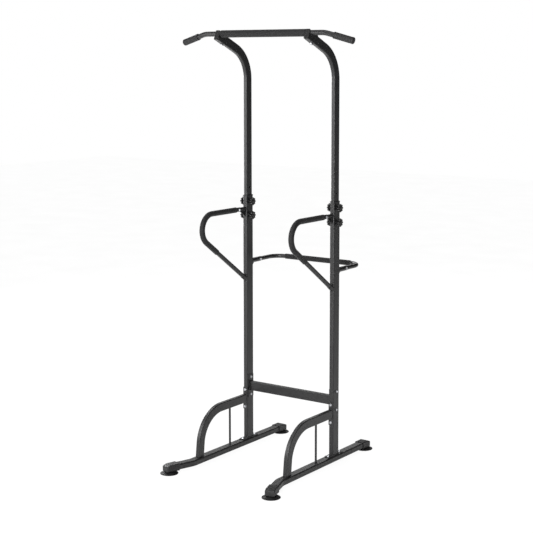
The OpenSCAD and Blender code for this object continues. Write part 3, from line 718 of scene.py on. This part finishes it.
def makeKnob(side, row, face):
    tag = f"{side}_{row}_{face}"
    low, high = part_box("knob_" + tag)
    outward = sides[side] * (1 if face == "outer" else -1)
    top = high.x if outward > 0 else low.x
    foot = low.x if outward > 0 else high.x
    centre = (low + high) / 2
    k = knobSize
    total = abs(top - foot) / mm
    base = axes((top - outward * k["thickness"] * mm, centre.y, centre.z), (0, 0, 1), (outward, 0, 0))
    bm = bmesh.new()
    tall, r = k["thickness"], k["radius"]
    outline = [
        (0, 0),
        (12.5, 0),
        (r - 1.8, 0),
        (r - 0.5, 0.45),
        (r, 1.6),
        (r, tall * 0.45),
        (r, tall - 3.2),
        (r - 0.35, tall - 1.9),
        (r - 1.3, tall - 0.8),
        (r - 2.8, tall - 0.2),
        (r - k["shoulder"], tall - 0.1),
        (13.2, tall - 0.25),
        (11.6, tall - 0.7),
        (10.8, tall - 1.7),
        (10.2, tall - 1.8),
        (9.7, tall - 1.0),
        (8.8, tall - 0.4),
        (6.0, tall - 0.1),
        (0, tall),
    ]
    made = lathe(bm, outline, Matrix.Identity(4), 96)
    for v in made:
        reach = math.hypot(v.co.x, v.co.y)
        if reach > k["hub"] * mm:
            share = min(1.0, (reach / mm - k["hub"]) / (r - k["shoulder"] - k["hub"]))
            share = share * share * (3 - 2 * share)
            wanted = lobedRadius(math.atan2(v.co.y, v.co.x)) / r
            factor = 1 + (wanted - 1) * share
            v.co.x *= factor
            v.co.y *= factor
    bmesh.ops.transform(bm, matrix=base, verts=made)
    neck, waist = k["neckLength"], k["neckRadius"]
    outline = [
        (0, 0.2),
        (waist + 1.2, 0.2),
        (waist + 0.3, -0.6),
        (waist, -1.4),
        (waist, -neck + 0.4),
        (waist - 0.5, -neck),
        (0, -neck),
    ]
    lathe(bm, outline, base, 48)
    finishPiece(bm, f"knob-{tag}", "knob_plastic", "knob_" + tag, 40, ("knob_" + tag,))
    bm = bmesh.new()
    length = total - tall
    radius, pitch = k["studRadius"], k["threadPitch"]
    thread = [(0, -neck + 0.5), (radius, -neck + 0.5)]
    z = neck
    while z + pitch < length - 1.2:
        thread += [(radius - k["threadDepth"], -(z + pitch * 0.5)), (radius, -(z + pitch * 0.95))]
        z += pitch
    thread += [(radius - 0.5, -(length - 0.9)), (radius - 1.4, -length), (0, -length)]
    lathe(bm, thread, base, 24)
    finishPiece(bm, f"knob-stud-{tag}", "zinc_steel", "knob_" + tag, 30)


for side in sides:
    for row in ("upper", "lower"):
        for face in ("outer", "inner"):
            makeKnob(side, row, face)
print("lock knobs")


foamSize = {"endRound": 1.4, "step": 4.5, "ripple": 0.14, "rippleMm": 18, "tubeGap": 0.12, "steps": 44}


def makeFoamSleeve(name, node, body, start, path, tube, outer):
    bm = bmesh.new()
    f = foamSize
    frames = pathFrames(start, path, f["step"] * mm)
    firstOut, lastOut = sweepRing(bm, outer - f["ripple"] * mm, frames, f["steps"])
    skin = list(bm.verts)
    firstIn, lastIn = sweepRing(bm, tube + f["tubeGap"] * mm, frames, f["steps"])
    bmesh.ops.bridge_loops(bm, edges=firstOut + firstIn)
    bmesh.ops.bridge_loops(bm, edges=lastOut + lastIn)
    bmesh.ops.recalc_face_normals(bm, faces=bm.faces)
    bm.normal_update()
    for v in skin:  # foam pulled over a tube never lies perfectly even
        v.co += v.normal * (noise.noise(v.co * (1000 / f["rippleMm"])) * f["ripple"] * mm)
    rims = firstOut + lastOut
    bmesh.ops.bevel(
        bm, geom=rims, offset=f["endRound"] * mm, segments=4, profile=0.5, affect="EDGES", material=-1
    )
    piece = finishPiece(bm, name, "foam", body, 50, (node,))


dipSize = {
    "height": 1263,
    "foamStart": 105,
    "bendForward": 303,
    "bendRadius": 78,
    "slope": 34.6,
    "foamTail": 102,
    "tube": 11.2,
    "foam": 2.9,
}
for side, sign in sides.items():
    d = dipSize
    place = (uprightX * sign, uprightY - d["foamStart"] * mm, d["height"] * mm)
    begin = axes(place, (0, 0, -1), (0, -1, 0))
    legs = [
        ((d["bendForward"] - d["foamStart"]) * mm,),
        (d["bendRadius"] * mm, 180 - d["slope"]),
        (d["foamTail"] * mm,),
    ]
    tube, outer = d["tube"] * mm, (d["tube"] + d["foam"]) * mm
    makeFoamSleeve(f"foam-sleeve-dip-{side}", f"dip_foam_{side}", "frame", begin, legs, tube, outer)

barFoams = {
    "foam-sleeve-rear": {"node": "rear_bar_foam", "body": "frame", "wall": 2.9},
    "foam-sleeve-top": {"node": "bar_foam", "body": "upper_frame", "wall": 5.5},
}
for name, b in barFoams.items():
    low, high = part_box(b["node"])
    outer = (high.z - low.z) / 2
    begin = axes((low.x, (low.y + high.y) / 2, (low.z + high.z) / 2), (0, 0, 1), (1, 0, 0))
    makeFoamSleeve(name, b["node"], b["body"], begin, [(high.x - low.x,)], outer - b["wall"] * mm, outer)
print("foam sleeves")


gripSize = {
    "length": 106,
    "radius": 16.6,
    "bar": 12.8,
    "socket": 101,
    "steps": 60,
    "padStart": 10.5,
    "padRows": 24,
    "padRow": 3.3,
    "padRise": 0.55,
    "padEdge": 0.45,
    "body": 15.8,
}
barShape = {"corner": 356, "half": 504, "endAngle": 16.7, "tilt": 24}


def gripFrame(side):
    centre = middle("bar_foam")
    flat = Matrix.Translation((0, centre.y, centre.z))
    flip = Matrix.Diagonal((sides[side], 1, 1, 1))
    leaned = Matrix.Rotation(math.radians(barShape["tilt"]), 4, "X") @ Matrix.Rotation(math.pi / 2, 4, "Y")
    turned = Matrix.Translation((0, 0, barShape["corner"] * mm)) @ Matrix.Rotation(
        math.radians(barShape["endAngle"]), 4, "Y"
    )
    reach = (barShape["half"] - barShape["corner"]) / math.cos(math.radians(barShape["endAngle"]))
    return flat @ flip @ leaned @ turned @ Matrix.Translation((0, 0, (reach - gripSize["length"]) * mm))


def makeGrip(side):
    g = gripSize
    r, body, length = g["radius"], g["body"], g["length"]
    start = g["padStart"]
    end = start + g["padRows"] * g["padRow"]
    outline = [
        (0, g["socket"]),
        (g["bar"], g["socket"]),
        (g["bar"], 0.8),
        (g["bar"] + 0.7, 0),
        (r - 1.2, 0),
        (r - 0.3, 0.5),
        (r, 1.4),
        (r, 5.4),
        (r - 0.4, 6.4),
        (body, 7.6),
        (body, 9.0),
    ]
    outline += [(body, start + k * g["padRow"]) for k in range(g["padRows"] + 1)]
    outline += [
        (body, end + 1.0),
        (r - 0.5, end + 2.2),
        (r - 0.1, end + 3.2),
        (r - 0.1, length - 5.0),
        (r - 0.7, length - 2.9),
        (r - 2.0, length - 1.2),
        (r - 4.0, length - 0.25),
        (r - 6.0, length),
        (4.0, length),
        (3.4, length - 0.7),
        (0, length - 0.7),
    ]
    bm = bmesh.new()
    lathe(bm, outline, Matrix.Identity(4), g["steps"])
    bmesh.ops.recalc_face_normals(bm, faces=bm.faces)
    pads = {}
    for f in bm.faces:
        c = f.calc_center_median()
        if math.hypot(c.x, c.y) < (body - 0.5) * mm or not start * mm < c.z < end * mm:
            continue
        row = int((c.z / mm - start) / g["padRow"])
        band = row // 3  # two rows of pad, then a row of gap
        column = int((math.atan2(c.y, c.x) % math.tau) / math.tau * g["steps"]) + band * 2
        if row % 3 != 2 and column % 4 < 2:
            pads.setdefault((band, column // 4), []).append(f)
    edge, rise = g["padEdge"] * mm, g["padRise"] * mm
    for faces in pads.values():  # small raised pads in a brick pattern
        bmesh.ops.inset_region(bm, faces=faces, thickness=edge, depth=rise, use_even_offset=True)
    bmesh.ops.transform(bm, matrix=gripFrame(side), verts=bm.verts)
    finishPiece(bm, f"bar-grip-{side}-moulded", "grip_rubber", "upper_frame", 38, (f"bar_grip_{side}",))


for side in sides:
    makeGrip(side)
print("bar grips")


weldSize = {"ripple": 0.22, "rippleMm": 2.4, "steps": 8, "cornerSteps": 5}


def beadAlong(bm, points, out, bead):
    # a closed rippled bead of radius bead mm through the points, with its sides across the direction out
    ring = points + [points[0]]
    marks = [0.0]
    for a, b in zip(ring, ring[1:]):
        marks.append(marks[-1] + (b - a).length)
    total = marks[-1]
    count = max(6, round(total / (weldSize["rippleMm"] * 0.5 * mm)))
    spots = []
    for k in range(count):
        want = total * k / count
        i = max(j for j in range(len(marks)) if marks[j] <= want + 1e-9)
        i = min(i, len(ring) - 2)
        share = (want - marks[i]) / max(marks[i + 1] - marks[i], 1e-9)
        spots.append(ring[i].lerp(ring[i + 1], share))
    frames = [axes(spot, out, spots[(k + 1) % count] - spots[k - 1]) for k, spot in enumerate(spots)]
    pulse = [1 + weldSize["ripple"] * (0.5 if k % 2 else -0.5) for k in range(count)]
    first, last = sweepRing(bm, bead * mm * pulse[0], frames, weldSize["steps"], pulse)
    bmesh.ops.bridge_loops(bm, edges=first + last)


def roundPath(centre, u, v, a, b, steps=32):
    # an ellipse of points about centre, reaching a along u and b along v
    u, v = Vector(u).normalized(), Vector(v).normalized()
    return [
        Vector(centre) + u * (a * math.cos(math.tau * k / steps)) + v * (b * math.sin(math.tau * k / steps))
        for k in range(steps)
    ]


def boxPath(centre, u, v, width, depth, corner):
    # a rounded rectangle of points about centre, with its sides along u and v; sizes in mm
    u, v = Vector(u).normalized(), Vector(v).normalized()
    width, depth, corner = width * mm, depth * mm, corner * mm
    points = []
    for q, (sx, sy) in enumerate(((1, 1), (-1, 1), (-1, -1), (1, -1))):
        for k in range(weldSize["cornerSteps"] + 1):
            angle = math.pi / 2 * (q + k / weldSize["cornerSteps"])
            points.append(
                Vector(centre)
                + u * (sx * (width / 2 - corner) + corner * math.cos(angle))
                + v * (sy * (depth / 2 - corner) + corner * math.sin(angle))
            )
    return points


weldPlaces = {
    "halfWidth": 12.75,  # of the lower uprights
    "halfDepth": 27,
    "plate": 3,
    "footPlate": 4,
    "dipRadius": 10.1,
    "socketRadius": 13.0,
    "socketInset": 1,
    "socketDrop": 1.4,
    "rearHeight": 986,
    "rearRadius": 12.8,
    "archHeight": 261.5,
    "arch": (22.6, 44.6, 4),  # width, depth, corner
    "upright": (26.1, 54.6, 5),
    "crossbarHeight": 326,
    "crossbar": (20.6, 50.6, 4),
    "rodForward": 164,
    "rodRadius": 5.9,
    "nutRadius": 10.8,
    "tubeBead": 1.5,
    "plateBead": 1.4,
    "rodBead": 1.2,
    "nutBead": 1.1,
}


def makeWelds(side):
    alongX, alongY, alongZ = (1, 0, 0), (0, 1, 0), (0, 0, 1)
    sign = sides[side]
    w = weldPlaces
    x = uprightX * sign
    inner = (uprightX - (w["halfWidth"] + w["plate"]) * mm) * sign
    front, back = uprightY - w["halfDepth"] * mm, uprightY + w["halfDepth"] * mm
    dipZ, slope = dipSize["height"] * mm, math.radians(dipSize["slope"])
    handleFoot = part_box(f"dip_handle_{side}")[0].z
    socketZ = handleFoot + w["socketInset"] * mm * math.tan(slope) + dipSize["tube"] * mm / math.cos(slope)
    socketZ -= w["socketDrop"] * mm
    dip, rear, socket = w["dipRadius"] * mm, w["rearRadius"] * mm, w["socketRadius"] * mm
    socketTall = socket / math.cos(slope)
    archPlace = (x, front - w["plate"] * mm, w["archHeight"] * mm)
    rod, rodY = w["rodRadius"] * mm, uprightY - w["rodForward"] * mm
    footPlace = (x, uprightY, baseTop + w["footPlate"] * mm)
    barPlace = (inner, uprightY, w["crossbarHeight"] * mm)
    beads = [
        (roundPath((x, front, dipZ), alongX, alongZ, dip, dip), alongY, w["tubeBead"]),
        (roundPath((x, back, w["rearHeight"] * mm), alongX, alongZ, rear, rear), alongY, w["tubeBead"]),
        (roundPath((x, front, socketZ), alongX, alongZ, socket, socketTall), alongY, w["tubeBead"]),
        (boxPath(archPlace, alongX, alongZ, *w["arch"]), alongY, w["plateBead"]),
    ]
    for z in (baseTop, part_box("brace_rods")[1].z):
        beads.append((roundPath((x, rodY, z), alongX, alongY, rod, rod, 20), alongZ, w["rodBead"]))
    beads.append((boxPath(footPlace, alongX, alongY, *w["upright"]), alongZ, w["tubeBead"]))
    beads.append((boxPath(barPlace, alongY, alongZ, *w["crossbar"]), alongX, w["plateBead"]))
    nut = w["nutRadius"] * mm
    for row in ("upper", "lower"):
        z = middle(f"washer_{side}_{row}_outer").z
        for face in (-1, 1):
            place = (x + face * w["halfWidth"] * mm, uprightY, z)
            beads.append((roundPath(place, alongY, alongZ, nut, nut), alongX, w["nutBead"]))
    bm = bmesh.new()
    for path, out, bead in beads:
        beadAlong(bm, path, out, bead)
    finishPiece(bm, f"weld-beads-{side}", "powder_coat", "frame", 60)


for side in sides:
    makeWelds(side)
print("weld beads")


studio = {
    "lens": 86.19,
    "shiftX": -0.0268,
    "shiftY": -0.0885,
    "camera": (3.6411, -5.1248, 2.0225),
    "yaw": -35.028,
    "pitch": -7.101,
    "floor": ("#f4f4f4", "#fafafa"),
    "floorCloudMm": 400,
    "floorGlow": 0.9,  # share of a light of its own in what the camera sees
    "glowStrength": 1.12,
    "floorSize": 30,
    "worldLight": 0.1,
    "domeLight": 1.3,
    "domeSpread": 70,
    "domeLean": (12, -8),
}
lamps = {  # degrees round from the front, distance, height, height aimed at, width and height, watts
    "frontStrip": (24, 6.0, 2.4, 1.1, (0.7, 3.4), 340),
    "leftSoftbox": (-38, 5.0, 2.4, 1.0, (2.2, 3.2), 130),
    "backStrip": (-112, 5.0, 2.2, 1.0, (0.8, 3.4), 150),
    "backSoftbox": (-150, 5.5, 2.9, 0.9, (3.4, 1.6), 34),
}


def makeFloor():
    material, tree, place = startMaterial("paleStudioFloor")
    cloud = grain(tree, place, studio["floorCloudMm"], 2.0)
    colour = blendTwo(tree, cloud, *studio["floor"])
    matt = addNode(tree, "ShaderNodeBsdfDiffuse", None, {"Color": colour})
    glow = addNode(tree, "ShaderNodeEmission", {"Strength": studio["glowStrength"]}, {"Color": colour})
    seen = addNode(tree, "ShaderNodeLightPath").outputs["Is Camera Ray"]
    share = addNode(tree, "ShaderNodeMath", {"operation": "MULTIPLY", 1: studio["floorGlow"]}, {0: seen})
    links = {0: share.outputs[0], 1: matt.outputs[0], 2: glow.outputs[0]}
    shader = addNode(tree, "ShaderNodeMixShader", None, links)  # the glow leaves only a trace of shadow
    addNode(tree, "ShaderNodeOutputMaterial", None, {"Surface": shader.outputs[0]})
    bm = bmesh.new()
    bmesh.ops.create_grid(bm, x_segments=4, y_segments=4, size=studio["floorSize"] / 2)
    mesh = bpy.data.meshes.new("studio-floor")
    bm.to_mesh(mesh)
    bm.free()
    mesh.materials.append(material)
    floor = bpy.data.objects.new("studio-floor", mesh)
    bpy.context.scene.collection.objects.link(floor)


def addArea(name, place, target, size, watts):
    light = bpy.data.lights.new(name, "AREA")
    light.shape = "RECTANGLE"
    light.size, light.size_y = size
    light.energy = watts
    lamp = bpy.data.objects.new(name, light)
    lamp.location = place
    lamp.visible_camera = False
    lamp.rotation_euler = (Vector(target) - Vector(place)).to_track_quat("-Z", "Y").to_euler()
    bpy.context.scene.collection.objects.link(lamp)


def aroundObject(azimuth, distance, height):
    turn = math.radians(azimuth)  # 0 is in front, 90 to the right
    return (math.sin(turn) * distance, -math.cos(turn) * distance, height)


makeFloor()
for name, (azimuth, distance, height, aimHeight, size, watts) in lamps.items():
    addArea(name, aroundObject(azimuth, distance, height), (0, 0, aimHeight), size, watts)
overhead = bpy.data.lights.new("overheadDome", "SUN")
overhead.energy = studio["domeLight"]
overhead.angle = math.radians(studio["domeSpread"])
dome = bpy.data.objects.new("overheadDome", overhead)
dome.rotation_euler = (math.radians(studio["domeLean"][0]), math.radians(studio["domeLean"][1]), 0)
bpy.context.scene.collection.objects.link(dome)

world = bpy.data.worlds.new("studioWorld")
bpy.context.scene.world = world
world.use_nodes = True
tree = world.node_tree
tree.nodes.clear()
lit = addNode(tree, "ShaderNodeBackground", {"Color": (1, 1, 1, 1), "Strength": studio["worldLight"]})
seen = addNode(tree, "ShaderNodeBackground", {"Color": (1, 1, 1, 1), "Strength": 1.0})
ray = addNode(tree, "ShaderNodeLightPath")
links = {0: ray.outputs["Is Camera Ray"], 1: lit.outputs[0], 2: seen.outputs[0]}
both = addNode(tree, "ShaderNodeMixShader", None, links)  # white behind the object, dim as a light
addNode(tree, "ShaderNodeOutputWorld", None, {"Surface": both.outputs[0]})

lens = bpy.data.cameras.new("studioCamera")
lens.lens = studio["lens"]
lens.sensor_width = 36
lens.shift_x, lens.shift_y = studio["shiftX"], studio["shiftY"]
lens.clip_start, lens.clip_end = 0.1, 60
camera = bpy.data.objects.new("studioCamera", lens)
camera.location = studio["camera"]
yaw, pitch = math.radians(studio["yaw"]), math.radians(studio["pitch"])
aim = Vector((math.sin(yaw) * math.cos(pitch), math.cos(yaw) * math.cos(pitch), math.sin(pitch)))
camera.rotation_euler = aim.to_track_quat("-Z", "Y").to_euler()
bpy.context.scene.collection.objects.link(camera)
bpy.context.scene.camera = camera
bpy.context.scene.view_settings.view_transform = "Standard"
print("studio: floor, lights, camera")
